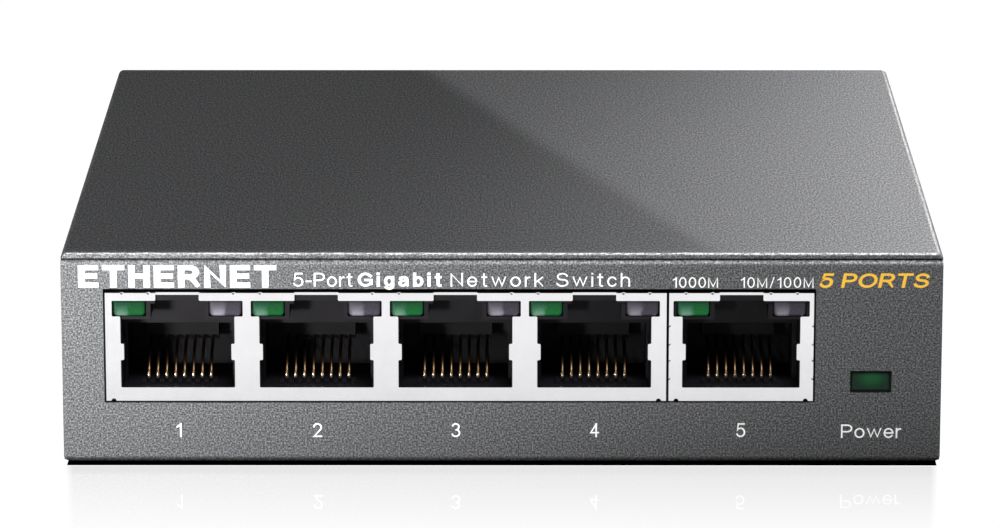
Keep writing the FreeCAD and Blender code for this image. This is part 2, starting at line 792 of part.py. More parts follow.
def port_contacts(port, label):
    """Eight sprung wires, from the tails in the board up and forward to the tips in the socket."""
    front, tail, level = value(JACK_FRONT), value(TAIL_Y), value("contact_level")
    tip, low, curl = front + value("contact_tip"), value("contact_low"), value("contact_curl")
    path = [(tail, value(BOARD_FOOT + " - tail_length")), (tail, level),
            (front + value("contact_bend"), level), (tip, low), (tip - curl, low - curl)]
    outline = strip_outline(path, value("contact_thickness"))
    half = value("contact_width / 2")
    middles = [value(contact_x(port, wire)) for wire in range(WIRES)]
    return formed(Part.makeCompound([prism(outline, x - half, x + half) for x in middles]), label)


def contact_carrier(port, wires, label):
    """The insert that holds the eight wires, moulded round them."""
    nose = box(across(port["x"], "nose_half"), (SOCKET_END + " - nose_reach", CARRIER_WALL + " + 1"),
               ("nose_low", "nose_high"))
    root = box(across(port["x"], "carrier_half"), (CARRIER_WALL, CARRIER_REAR),
               ("board_top + carrier_play", "carrier_high"))
    return cut(fuse([nose, root]), [wires], label)


def port_light(port, side, label):
    """A bar-shaped lamp with a domed face and rounded lower edges, and its two legs to the board."""
    face = JACK_FRONT + " + led_recess"
    lens = box(beside(port, side, "led_inner", "led_outer"), (face, face + " + led_length"),
               ("mouth_high", "window_high"))
    doc.recompute()
    rounded = doc.addObject("Part::Fillet", "rounded")
    rounded.Base = lens
    flanks = near(*[value(limit) for limit in beside(port, side, "led_inner", "led_outer")])
    lower = edges_at(lens.Shape, x=flanks, z=near(value("mouth_high")))
    rounded.Edges = [(int(name[4:]), value("led_corner"), value("led_corner")) for name in lower]
    doc.recompute()
    dome = doc.addObject("Part::Fillet", "dome")
    dome.Base = rounded
    rim = edges_at(rounded.Shape, y=near(value(face)))
    dome.Edges = [(int(name[4:]), value("led_dome"), value("led_dome")) for name in rim]
    leg_front, leg_rear = HOUSING_REAR + " + leg_width / 5", HOUSING_REAR + " + leg_width * 1.2"
    level = across("leg_level", "leg_width / 2")
    legs = []
    for leg in (-1, 1):
        middle = "%s + (%d) * (led_inner + led_outer) / 2 + (%d) * leg_spread" % (port["x"], side, leg)
        span = across(middle, "leg_width / 2")
        legs.append(box(span, (face + " + led_length - leg_width", leg_rear), level))
        legs.append(box(span, (leg_front, leg_rear), ("board_top", "leg_level")))
    return fuse([dome] + legs, label)


def sockets():
    socket_shield(GANG, PORTS[:4], "jack_shield_1_4")
    socket_shield(SINGLE, PORTS[4:], "jack_shield_5")
    socket_housing(GANG, PORTS[:4], "jack_housing_1_4")
    socket_housing(SINGLE, PORTS[4:], "jack_housing_5")
    for number, port in enumerate(PORTS, start=1):
        wires = port_contacts(port, "port_contacts_%d" % number)
        contact_carrier(port, wires, "contact_carrier_%d" % number)
        port_light(port, -1, "left_led_%d" % number)
        port_light(port, 1, "right_led_%d" % number)


# The power light


def power_light_lens():
    """A light pipe: its face fills the window, and a collar stops it behind the panel."""
    body = new_body("power_light_lens")
    face = FRONT + " + light_inset"
    behind_panel = FRONT + " + sheet + seam"
    blocks = (("light_width / 2", "light_height / 2", face, behind_panel),
              ("light_width / 2 + light_collar", "light_height / 2 + light_collar",
               behind_panel, behind_panel + " + light_collar"),
              ("light_width / 2 - light_inset", "light_height / 2",
               behind_panel + " + light_collar", FRONT + " + light_depth"))
    for half_width, half_height, near_end, far_end in blocks:
        outline = [rectangle(*across("light_x", half_width), *across("light_z", half_height))]
        drawing = sketch(body, "XZ_Plane", outline, offset="-(%s)" % near_end)
        pad(body, drawing, "%s - (%s)" % (far_end, near_end), backwards=True)
    rim = edges_at(body.Shape, y=near(value(face)))
    soften(body, "Fillet", rim, "light_round")
    return body


def power_led():
    """A side-facing lamp on the board, right behind the light pipe."""
    back = FRONT + " + light_depth + led_gap + led_body"
    base = box(across("light_x", "led_body"), (FRONT + " + light_depth + led_gap", back),
               ("board_top", "board_top + 2 * led_body"))
    dome = doc.addObject("Part::Cylinder", "dome")
    bind(dome, "Radius", "led_body * 0.55")
    bind(dome, "Height", "led_gap")
    dome.Placement.Rotation = FreeCAD.Rotation(FreeCAD.Vector(1, 0, 0), 90)
    for axis, text in (("x", "light_x"), ("y", FRONT + " + light_depth + 1.25 * led_gap"),
                       ("z", "board_top + led_body")):
        bind(dome, "Placement.Base." + axis, text)
    return fuse([base, dome], "power_led")


# Chips and other parts on the board


def gull_wing(reach, height):
    """The side view of a lead that leaves a chip's side, steps down and lies on the board."""
    thick = value("lead_sheet")
    path = [(-thick, height), (reach * 0.35, height), (reach * 0.55, thick / 2), (reach, thick / 2)]
    return strip_outline(path, thick)


def leaded_chip(middle, size, leads, pitch, reach, four_sides=False):
    """A moulded package with rows of gull-wing leads on two sides or on all four."""
    (x, y), (wide, deep, tall) = middle, size
    board, lift, half_lead = value("board_top"), value("chip_lift"), value("lead_width / 2")
    corner = FreeCAD.Vector(x - wide / 2, y - deep / 2, board + lift)
    package = Part.makeBox(wide, deep, tall - lift, corner)
    upper = [edge for edge in package.Edges if edge.BoundBox.ZMin > board + tall / 2]
    package = package.makeChamfer(value("chip_bevel"), upper)
    wings = []
    for turn in range(0, 360, 90 if four_sides else 180):
        side = wide / 2 if turn % 180 == 0 else deep / 2
        for lead in range(leads):
            along = (lead - (leads - 1) / 2) * pitch
            wing = prism(gull_wing(reach, tall / 2), along - half_lead, along + half_lead)
            wing.rotate(FreeCAD.Vector(), FreeCAD.Vector(0, 0, 1), -90)
            wing.translate(FreeCAD.Vector(side, 0, 0))
            wing.rotate(FreeCAD.Vector(), FreeCAD.Vector(0, 0, 1), turn)
            wing.translate(FreeCAD.Vector(x, y, board))
            wings.append(wing)
    return package.fuse(wings).removeSplitter()


def lan_transformers():
    size = [value(name) for name in ("lan_width", "lan_depth", "lan_height")]
    for number, port in enumerate(PORTS, start=1):
        place = (value(port["x"]), value("lan_y"))
        formed(leaded_chip(place, size, leads=12, pitch=1.1, reach=1.6), "lan_transformer_%d" % number)


def switch_chip():
    size = [value(name) for name in ("chip_size", "chip_size", "chip_height")]
    place = (value("chip_x"), value("chip_y"))
    return formed(leaded_chip(place, size, leads=16, pitch=0.8, reach=1, four_sides=True), "switch_chip")


def thermal_pad():
    body = new_body("thermal_pad")
    outline = [rectangle(*across("chip_x", "pad_size / 2"), *across("chip_y", "pad_size / 2"))]
    pad(body, sketch(body, "XY_Plane", outline, offset="board_top + chip_height"), "pad_thickness")
    return body


def heat_sink():
    """An extruded base with upright fins, stuck to the chip by the thermal pad."""
    body = new_body("heat_sink")
    foot = "board_top + chip_height + pad_thickness"
    half = "sink_size / 2"
    outline = [rectangle(*across("chip_x", half), *across("chip_y", half))]
    pad(body, sketch(body, "XY_Plane", outline, offset=foot), "sink_height")
    step = "(sink_size - fin_sheet) / fin_count"
    first_gap = "chip_x - sink_size / 2 + fin_sheet"
    groove = rectangle(first_gap, first_gap + " + fin_gap",
                       foot + " + sink_base", foot + " + sink_height + 1")
    drawing = sketch(body, "XZ_Plane", [groove])
    first = pocket(body, drawing)
    row = body.newObject("PartDesign::LinearPattern", "fin_row")
    row.Originals = [first]
    row.Direction = (drawing, ["H_Axis"])
    bind(row, "Length", "(fin_count - 1) * %s" % step)
    row.Occurrences = int(value("fin_count"))
    body.Tip = row
    doc.recompute()
    return body


def small_chips():
    """The memory chip, and a switching regulator beside each power coil."""
    formed(leaded_chip((-24, 6), (5.2, 5.2, 1.8), leads=4, pitch=1.27, reach=1.3), "flash_chip")
    supplies = [leaded_chip(place, (3.9, 4.9, 1.5), leads=4, pitch=1.27, reach=1.1)
                for place in ((24, 6), (36, 8))]
    formed(Part.makeCompound(supplies), "voltage_regulators")


def crystal():
    """The clock crystal's oval can on its base."""
    body = new_body("crystal")
    rim, wall = "crystal_rim", "crystal_half"
    blocks = (("board_top", rim, "crystal_reach + " + rim, wall + " + " + rim),
              ("board_top + " + rim, "crystal_height", "crystal_reach", wall))
    for low, tall, half_length, half_width in blocks:
        outline = [rectangle(*across("crystal_x", half_length), *across("crystal_y", half_width))]
        pad(body, sketch(body, "XY_Plane", outline, offset=low), tall)
    corners = edges_at(body.Shape, x=near(*[value(end) for end in across("crystal_x", "crystal_reach")]),
                       y=near(*[value(end) for end in across("crystal_y", wall)]))
    soften(body, "Fillet", corners, wall + " - 0.2")
    return body


def power_coils():
    form = new_body("power_coil")
    half = "coil_size / 2"
    pad(form, sketch(form, "XY_Plane", [rectangle(*across("0", half), *across("0", half))],
                     offset="board_top"), "coil_height")
    reach = value(half)
    corners = edges_at(form.Shape, x=near(-reach, reach), y=near(-reach, reach))
    soften(form, "Chamfer", corners, "coil_size / 5")
    places = [(x, y, "0") for x, y in (("24", "16"), ("36", "18"))]
    return repeated(form, places, "power_coils")


def capacitor_cans():
    """Electrolytic capacitors: a plastic foot, a can with a rolled groove and a rounded top."""
    form = new_body("capacitor_can")
    foot, top = "board_top + can_foot", "board_top + can_height"
    wide, skirt, neck = "can_radius", "can_radius + can_roll", "can_radius - can_roll"
    section = [("0", "board_top"), (skirt, "board_top"), (skirt, foot), (wide, foot),
               (wide, foot + " + 3 * can_roll"), (neck, foot + " + 4 * can_roll"),
               (neck, foot + " + 6 * can_roll"), (wide, foot + " + 7 * can_roll"),
               (wide, top + " - can_roll"), (neck, top), ("0", top)]
    revolve(form, sketch(form, "XZ_Plane", [section]), "Z_Axis")
    places = [(x, y, "0") for x, y in (("18", "30"), ("19", "40.5"), ("40.5", "38"), ("-34", "30"))]
    return repeated(form, places, "capacitor_cans")


def chip_resistors():
    """Small ceramic parts in rows between the transformers and the chip, and beside the memory."""
    long, wide, tall = value("resistor_length"), value("resistor_width"), value("resistor_height")
    spots = [(-40 + 4.2 * place, -2.6 - 1.8 * (place % 2)) for place in range(19)]
    spots += [(-32, 2 + 2.4 * place) for place in range(6)]
    corners = [FreeCAD.Vector(x - long / 2, y - wide / 2, value("board_top")) for x, y in spots]
    return formed(Part.makeCompound([Part.makeBox(long, wide, tall, corner) for corner in corners]),
                  "chip_resistors")


# The power inlet at the rear

INLET_FRONT = "(case_depth / 2 - inlet_depth)"
INLET_Z = "(board_top + inlet_axis)"


def inlet_housing():
    """The inlet's moulded body, with the socket for a barrel plug and a slot for the leaf under it."""
    body = new_body("dc_inlet_housing")
    outline = rectangle(*across("inlet_x", "inlet_width / 2"), "board_top", "board_top + inlet_height")
    pad(body, sketch(body, "XZ_Plane", [outline], offset="-case_depth / 2"), "inlet_depth")
    top = edges_at(body.Shape, x=near(value("inlet_x - inlet_width / 2"), value("inlet_x + inlet_width / 2")),
                   z=near(value("board_top + inlet_height")))
    soften(body, "Fillet", top, "inlet_corner")
    bore = [("inlet_x", INLET_Z, "inlet_bore")]
    pocket(body, sketch(body, "XZ_Plane", circles=bore, offset="-case_depth / 2 - 1"),
           "inlet_bore_depth + 1", backwards=True)
    seat = [("inlet_x", INLET_Z, "inlet_pin")]
    pocket(body, sketch(body, "XZ_Plane", circles=seat))
    slot = [rectangle(*across("inlet_x", "leaf_half + leaf_play"), "board_top - 1", INLET_Z)]
    pocket(body, sketch(body, "XZ_Plane", slot, offset="leaf_front - case_depth / 2"), "leaf_length",
           backwards=True)
    return body


def inlet_pin():
    """The inlet's round-nosed centre pin, held in the housing's end wall."""
    form = new_body("dc_inlet_pin")
    tip = "case_depth / 2 - inlet_pin_inset"
    section = [("0", INLET_FRONT), ("inlet_pin", INLET_FRONT), ("inlet_pin", tip + " - inlet_pin * 0.6"),
               ("inlet_pin * 0.6", tip), ("0", tip)]
    revolve(form, sketch(form, "XY_Plane", [section]), "Y_Axis")
    bind(form, "Placement.Base.x", "inlet_x")
    bind(form, "Placement.Base.z", INLET_Z)
    doc.recompute()
    return form


def inlet_leaf():
    """The sprung leaf that grips a plug's barrel from below."""
    sheet, bore = value("leaf_sheet"), value(INLET_Z + " - inlet_bore")
    tip = value(REAR + " - leaf_front") - 3 * sheet
    heel = value(REAR + " - leaf_front - leaf_length") + 2 * sheet
    path = [(heel, value("board_top") + sheet), (heel, bore - 2 * sheet), (tip - 6 * sheet, bore + sheet),
            (tip, bore - sheet)]
    left, right = [value(end) for end in across("inlet_x", "leaf_half")]
    return formed(prism(strip_outline(path, sheet), left, right), "dc_inlet_leaf")


# The reset switch behind the rear panel's pin hole

CAP_REAR = "(case_depth / 2 - sheet - reset_behind)"
WELL_FLOOR = "(%s - reset_well)" % CAP_REAR
SWITCH_OUTLINE = rectangle(*across("reset_x", "reset_half"), "board_top", "board_top + reset_height")


def reset_base():
    """The switch's moulded case, open to the rear."""
    body = new_body("reset_switch_base")
    pad(body, sketch(body, "XZ_Plane", [SWITCH_OUTLINE], offset="-(%s)" % CAP_REAR), "reset_depth")
    well = [("reset_x", "reset_z", "reset_flange + reset_well_play")]
    pocket(body, sketch(body, "XZ_Plane", circles=well, offset="-(%s) - 1" % CAP_REAR),
           "reset_well + 1", backwards=True)
    return body


def reset_cap():
    """The pressed plate that closes the switch and guides the plunger."""
    body = new_body("reset_switch_cap")
    guide = [("reset_x", "reset_z", "reset_stem + reset_play")]
    pad(body, sketch(body, "XZ_Plane", [SWITCH_OUTLINE], guide, offset="-(%s)" % CAP_REAR),
        "reset_cap", backwards=True)
    return body


def turned_about_reset(label, section):
    """A round piece about the reset switch's axis, from (radius, y) points."""
    form = new_body(label)
    revolve(form, sketch(form, "XY_Plane", [section]), "Y_Axis")
    bind(form, "Placement.Base.x", "reset_x")
    bind(form, "Placement.Base.z", "reset_z")
    doc.recompute()
    return form


def reset_dome():
    """The snap dome on the floor of the switch."""
    crown, foot, sheet = WELL_FLOOR + " + dome_height", WELL_FLOOR, "dome_sheet"
    rim, shoulder = "reset_flange + dome_sheet", "reset_flange / 2"
    return turned_about_reset("reset_dome", [
        ("0", crown), (shoulder, crown + " - dome_sheet / 2"), (rim, foot + " + dome_sheet"), (rim, foot),
        ("reset_flange", foot), (shoulder, crown + " - 1.7 * dome_sheet"), ("0", crown + " - " + sheet)])


def reset_plunger():
    """The button that a pin pushes: a flange held behind the cap and a stem through it."""
    rear, tip, stem = CAP_REAR + " - dome_sheet / 2", REAR + " - sheet - 0.3", "reset_stem"
    flange, front = "reset_flange", CAP_REAR + " - dome_sheet / 2 - reset_flange_depth"
    return turned_about_reset("reset_plunger", [
        ("0", front), (flange, front), (flange, rear), (stem, rear), (stem, tip + " - reset_tip"),
        (stem + " - reset_tip", tip), ("0", tip)])


def build_all():
    chassis_tray()
    top_cover()
    rubber_feet()
    cover_screws()
    bottom_label()
    circuit_board()
    board_posts()
    board_screws()
    sockets()
    power_light_lens()
    power_led()
    lan_transformers()
    switch_chip()
    thermal_pad()
    heat_sink()
    small_chips()
    crystal()
    power_coils()
    capacitor_cans()
    chip_resistors()
    inlet_housing()
    inlet_pin()
    inlet_leaf()
    reset_base()
    reset_cap()
    reset_dome()
    reset_plunger()


def write_parts():
    """Checks every object and every sub-part, then writes one STEP file for each sub-part."""
    doc.recompute()
    failed = [item.Name for item in doc.Objects if {"Invalid", "Error"} & set(item.State)]
    if failed:
        raise RuntimeError("these objects failed: " + ", ".join(failed))
    for item in subparts:
        if item.Shape.isNull() or not item.Shape.isValid():
            raise RuntimeError(item.Label + " has no valid shape")
    os.makedirs("parts", exist_ok=True)
    for item in subparts:
        item.Shape.exportStep("parts/%s.step" % item.Label)
    print("%d sub-parts written" % len(subparts))


build_all()
write_parts()
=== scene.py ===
import bpy
import json
import math
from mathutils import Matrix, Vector


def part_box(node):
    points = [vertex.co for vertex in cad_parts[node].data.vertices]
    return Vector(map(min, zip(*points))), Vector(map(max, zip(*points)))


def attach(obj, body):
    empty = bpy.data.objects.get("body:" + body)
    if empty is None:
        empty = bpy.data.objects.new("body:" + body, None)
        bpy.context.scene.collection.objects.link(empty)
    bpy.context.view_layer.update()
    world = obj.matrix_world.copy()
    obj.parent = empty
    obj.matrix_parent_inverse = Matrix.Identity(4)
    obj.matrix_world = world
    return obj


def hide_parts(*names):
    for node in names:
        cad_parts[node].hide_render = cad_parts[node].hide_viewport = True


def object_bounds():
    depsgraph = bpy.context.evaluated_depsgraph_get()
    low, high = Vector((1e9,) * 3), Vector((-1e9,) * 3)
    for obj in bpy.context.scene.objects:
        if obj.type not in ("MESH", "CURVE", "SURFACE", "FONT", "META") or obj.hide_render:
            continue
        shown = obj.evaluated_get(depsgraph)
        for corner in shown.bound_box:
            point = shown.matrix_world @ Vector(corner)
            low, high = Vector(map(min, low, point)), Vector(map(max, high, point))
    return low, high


# The looks of a five-port desktop network switch: materials, sprung wires, printed legends, light
# and camera. Lengths are in metres, in the CAD model's own frame: front towards -Y, right towards
# +X, up +Z.

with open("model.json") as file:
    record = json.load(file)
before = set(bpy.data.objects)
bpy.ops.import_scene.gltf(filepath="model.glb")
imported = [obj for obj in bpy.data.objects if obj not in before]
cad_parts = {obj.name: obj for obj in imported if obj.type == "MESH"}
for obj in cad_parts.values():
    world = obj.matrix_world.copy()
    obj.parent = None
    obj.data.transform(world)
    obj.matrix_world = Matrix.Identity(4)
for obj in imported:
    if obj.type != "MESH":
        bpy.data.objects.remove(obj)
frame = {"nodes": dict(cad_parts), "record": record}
cad_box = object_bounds()
scene = bpy.context.scene

MM = 0.001
BODY = "switch_body"
PORTS = range(1, 6)


# Node helpers


def rgba(colour):
    """Four channels, from a grey level or from a colour."""
    if isinstance(colour, (int, float)):
        return (colour, colour, colour, 1)
    return tuple(colour) + (1,) * (4 - len(colour))


class Nodes:
    """Adds nodes to one material or world and joins them."""

    def __init__(self, tree):
        self.tree = tree
        tree.nodes.clear()

    def feed(self, socket, item):
        """Joins an output to the socket, or sets the socket's value."""
        if isinstance(item, bpy.types.NodeSocket):
            self.tree.links.new(item, socket)
        elif socket.type == "RGBA":
            socket.default_value = rgba(item)
        else:
            socket.default_value = item

    def add(self, kind, **inputs):
        """A new shader node, with its inputs fed by name."""
        node = self.tree.nodes.new("ShaderNode" + kind)
        for name, item in inputs.items():
            self.feed(node.inputs[name.replace("_", " ")], item)
        return node

    def math(self, operation, first, second=0.0):
        """One or two numbers put through a sum, product or other operation."""
        node = self.tree.nodes.new("ShaderNodeMath")
        node.operation = operation
        self.feed(node.inputs[0], first)
        self.feed(node.inputs[1], second)
        return node.outputs[0]

    def ramp(self, factor, *stops):
        """A colour ramp: each stop is (position, value or colour)."""
        node = self.add("ValToRGB", Fac=factor)
        ramp = node.color_ramp
        while len(ramp.elements) < len(stops):
            ramp.elements.new(0.5)
        for element, (position, colour) in zip(ramp.elements, stops):
            element.position = position
            element.color = rgba(colour)
        return node.outputs["Color"]

    def step(self, item, low, high):
        """0 below low and 1 above high, straight between them; low may be the larger."""
        node = self.add("MapRange", Value=item, From_Min=low, From_Max=high)
        return node.outputs[0]

    def mix(self, factor, first, second):
        """The first colour where the factor is 0, the second where it is 1."""
        node = self.tree.nodes.new("ShaderNodeMix")
        node.data_type = "RGBA"
        for socket, item in zip((node.inputs[0], node.inputs[6], node.inputs[7]), (factor, first, second)):
            self.feed(socket, item)
        return node.outputs[2]

    def place(self, *stretch):
        """The object's own coordinates, stretched by a factor on each axis."""
        coords = self.tree.nodes.new("ShaderNodeTexCoord").outputs["Object"]
        if not stretch:
            return coords
        return self.add("Mapping", Vector=coords, Scale=stretch).outputs["Vector"]

    def axes(self):
        """The object's own X, Y and Z."""
        return self.add("SeparateXYZ", Vector=self.place()).outputs

    def noise(self, size, detail=2.0, roughness=0.5, vector=None, distortion=0.0):
        """Noise whose features are about the given size."""
        node = self.add("TexNoise", Vector=vector or self.place(), Scale=1 / size, Detail=detail,
                        Roughness=roughness, Distortion=distortion)
        return node.outputs["Fac"]

    def bump(self, height, depth, strength=1.0, under=None):
        """A bump of the given depth, over another bump if there is one."""
        node = self.add("Bump", Height=height, Distance=depth, Strength=strength)
        if under:
            self.feed(node.inputs["Normal"], under)
        return node.outputs["Normal"]


def material(name):
    """A new material, its node helper and its Principled shader."""
    made = bpy.data.materials.new(name)
    made.use_nodes = True
    nodes = Nodes(made.node_tree)
    shader = nodes.add("BsdfPrincipled")
    output = nodes.tree.nodes.new("ShaderNodeOutputMaterial")
    nodes.tree.links.new(shader.outputs[0], output.inputs["Surface"])
    return made, nodes, shader


def drive(nodes, shader, **sockets):
    """Feeds the shader's sockets by name."""
    for name, item in sockets.items():
        nodes.feed(shader.inputs[name.replace("_", " ")], item)


# Materials


def powder_coat():
    """Charcoal powder coat with metal flake: pebbled grain, bright specks and a faint cloudiness."""
    made, nodes, shader = material("powder_coat")
    grain = nodes.noise(0.2 * MM, detail=2.5, roughness=0.6, vector=nodes.place(1, 0.4, 1))
    pebble = nodes.noise(0.5 * MM, detail=2)
    cloud = nodes.noise(9 * MM, detail=3)
    base = nodes.ramp(grain, (0.36, (0.045, 0.045, 0.047)), (0.5, (0.115, 0.117, 0.121)),
                      (0.64, (0.24, 0.244, 0.251)))
    base = nodes.mix(nodes.math("MULTIPLY", cloud, 0.1), base, 0.13)
    rough = nodes.ramp(grain, (0.3, 0.68), (0.7, 0.56))
    soft = nodes.bump(pebble, 0.03 * MM, 0.5)
    drive(nodes, shader, Base_Color=base, Roughness=rough, Normal=nodes.bump(grain, 0.02 * MM, 0.6, soft))
    shader.inputs["Metallic"].default_value = 0.9
    return made


def tin_plate():
    """Bright tin plate: rolled grain, faint stains and the small waves of a pressed sheet."""
    made, nodes, shader = material("tin_plate")
    rolled = nodes.noise(0.1 * MM, detail=4, vector=nodes.place(0.1, 1, 1))
    stain = nodes.noise(2.5 * MM, detail=4, roughness=0.6)
    wave = nodes.noise(4 * MM, detail=1)
    colour = nodes.mix(stain, (0.82, 0.812, 0.828), (0.93, 0.922, 0.944))
    rough = nodes.ramp(rolled, (0.3, 0.14), (0.75, 0.2))
    waved = nodes.bump(wave, 0.05 * MM, 0.3)
    drive(nodes, shader, Base_Color=colour, Roughness=rough, Metallic=1.0,
          Normal=nodes.bump(rolled, 0.004 * MM, 0.4, waved))
    return made


def moulded(name, colour, roughness=0.45, grain=0.25 * MM, contrast=0.35, shine=0.5):
    """Moulded plastic: spark-eroded grain and a little variation in tone."""
    made, nodes, shader = material(name)
    fine = nodes.noise(grain, detail=3)
    cloud = nodes.noise(grain * 12)
    light = [min(1, part * (1 + contrast) + 0.004) for part in colour]
    dark = [part * (1 - contrast) for part in colour]
    rough = nodes.ramp(fine, (0.3, roughness + 0.08), (0.7, roughness - 0.08))
    drive(nodes, shader, Base_Color=nodes.mix(cloud, dark, light), Roughness=rough,
          Normal=nodes.bump(fine, 0.01 * MM, 0.4))
    shader.inputs["Specular IOR Level"].default_value = shine
    return made


def metal(name, colour, roughness=0.3, streak=(1, 1, 1), grain=0.1 * MM, tarnish=0.8):
    """Plated or drawn metal: streaks along the rolling or turning, and faint tarnish."""
    made, nodes, shader = material(name)
    fine = nodes.noise(grain, detail=4, vector=nodes.place(*streak))
    stain = nodes.noise(grain * 14, detail=3)
    dull = [part * tarnish for part in colour]
    rough = nodes.ramp(fine, (0.3, roughness - 0.07), (0.75, roughness + 0.1))
    drive(nodes, shader, Base_Color=nodes.mix(stain, dull, colour), Roughness=rough, Metallic=1.0,
          Normal=nodes.bump(fine, 0.004 * MM, 0.3))
    return made


def sprung_gold():
    """Gold-flashed spring wire: a painted highlight at its tip, and painted shade darkening it brown
    towards its root.
    """
    made, nodes, shader = material("sprung_gold")
    fine = nodes.noise(0.08 * MM, detail=2)
    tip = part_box("port_contacts_1")[0].z + 3.8 * MM
    # Painted highlight near the tip, fading up the wire into painted shade.
    up = nodes.step(nodes.axes()["Z"], tip, tip + 4 * MM)
    tip_highlight_and_shade = nodes.ramp(up, (0.1, (1.0, 0.94, 0.80)), (0.15, (0.42, 0.28, 0.15)),
                      (0.23, (0.07, 0.041, 0.022)), (1.0, (0.045, 0.03, 0.019)))
    base = nodes.mix(nodes.math("MULTIPLY", fine, 0.2), tip_highlight_and_shade, (0.30, 0.18, 0.08))
    drive(nodes, shader, Base_Color=base, Roughness=nodes.ramp(fine, (0.3, 0.3), (0.7, 0.36)), Metallic=1.0,
          Normal=nodes.bump(fine, 0.001 * MM, 0.2))
    return made


def capped_metal():
    """A drawn aluminium can on a black plastic foot."""
    made, nodes, shader = material("capped_metal")
    fine = nodes.noise(0.1 * MM, detail=4, vector=nodes.place(1, 1, 0.05))
    foot_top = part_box("capacitor_cans")[0].z + 1.02 * MM
    above = nodes.step(nodes.axes()["Z"], foot_top, foot_top + 0.02 * MM)
    base = nodes.mix(above, (0.02, 0.02, 0.02), nodes.mix(fine, (0.6, 0.61, 0.63), (0.74, 0.75, 0.77)))
    drive(nodes, shader, Base_Color=base, Roughness=nodes.ramp(fine, (0.3, 0.22), (0.75, 0.36)),
          Metallic=above, Normal=nodes.bump(fine, 0.004 * MM, 0.3))
    return made


def leaded_resin(node, reach, all_sides):
    """Black moulding resin, with tinned leads round the package."""
    made, nodes, shader = material("resin_" + node)
    low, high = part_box(node)
    middle, half = (low + high) / 2, (high - low) / 2
    fine = nodes.noise(0.12 * MM, detail=3)
    x, y, _ = nodes.axes()
    out_x = nodes.math("ABSOLUTE", nodes.math("SUBTRACT", x, middle.x))
    out_y = nodes.math("ABSOLUTE", nodes.math("SUBTRACT", y, middle.y))
    lead = nodes.math("GREATER_THAN", out_x, half.x - reach)
    if all_sides:
        lead = nodes.math("MAXIMUM", lead, nodes.math("GREATER_THAN", out_y, half.y - reach))
    resin = nodes.ramp(fine, (0.3, 0.012), (0.7, 0.032))
    drive(nodes, shader, Base_Color=nodes.mix(lead, resin, (0.62, 0.62, 0.6)), Metallic=lead,
          Roughness=nodes.mix(lead, 0.55, nodes.ramp(fine, (0.3, 0.25), (0.7, 0.4))),
          Normal=nodes.bump(fine, 0.01 * MM, 0.4))
    return made


# Epoxy colours: the pale patch of painted reflection, the body, the painted shadow of the lead frame beside
# it, and the painted shade of the rim.
GREEN_LAMP = ((0.56, 0.84, 0.66), (0.016, 0.16, 0.068), (0.004, 0.145, 0.030), (0.001, 0.018, 0.006))
SMOKE_LAMP = ((0.86, 0.82, 0.93), (0.17, 0.155, 0.195), (0.072, 0.062, 0.086), (0.018, 0.016, 0.021))


def lamp(node, colours, strength):
    """A translucent epoxy lamp: a pale patch of painted reflection in its body, a painted shadow of the
    lead frame beside it, and painted shade round its rim.
    """
    clear, body, shadow_colour, ends = [[part * strength for part in colour] for colour in colours]
    made, nodes, shader = material("epoxy_" + node)
    low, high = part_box(node)
    x, _, z = nodes.axes()
    along = nodes.step(x, low.x, high.x)
    up = nodes.step(z, low.z, high.z)
    cloud = nodes.noise(0.9 * MM, detail=2, distortion=0.5)
    fine = nodes.noise(0.12 * MM, detail=2)
    wobble = nodes.math("MULTIPLY", nodes.math("SUBTRACT", cloud, 0.5), 0.25)
    slant = nodes.math("ADD", nodes.math("ADD", along, wobble), nodes.math("MULTIPLY", up, 0.14))
    # Painted shadow of the lead frame, over the right and upper part of the lamp.
    shadow_side = nodes.step(slant, 0.56, 0.66)
    shadow_foot = nodes.step(nodes.math("ADD", up, wobble), 0.4, 0.6)
    from_middle = nodes.math("ABSOLUTE", nodes.math("SUBTRACT", slant, 0.4))
    from_half = nodes.math("ABSOLUTE", nodes.math("SUBTRACT", up, 0.5))
    # Painted reflection: a pale patch across the middle of the lamp.
    pale = nodes.math("MULTIPLY", nodes.step(from_middle, 0.32, 0.08), nodes.step(from_half, 0.46, 0.12))
    colour = nodes.mix(pale, body, clear)
    colour = nodes.mix(nodes.math("MULTIPLY", shadow_side, shadow_foot), colour, shadow_colour)
    # Painted shade round the rim: both ends and the top and bottom edges darken to the rim colour.
    rim_side = nodes.math("MINIMUM", nodes.step(along, 0.0, 0.2), nodes.step(along, 1.0, 0.92))
    rim_edge = nodes.math("MINIMUM", nodes.step(up, 0.0, 0.22), nodes.step(up, 1.05, 0.8))
    colour = nodes.mix(nodes.math("MINIMUM", rim_side, rim_edge), ends, colour)
    drive(nodes, shader, Base_Color=colour, Roughness=nodes.ramp(fine, (0.3, 0.2), (0.7, 0.32)),
          Normal=nodes.bump(fine, 0.003 * MM, 0.4))
    shader.inputs["Specular IOR Level"].default_value = 0.15
    shader.inputs["Coat Weight"].default_value = 0.08
    shader.inputs["Coat Roughness"].default_value = 0.12
    return made


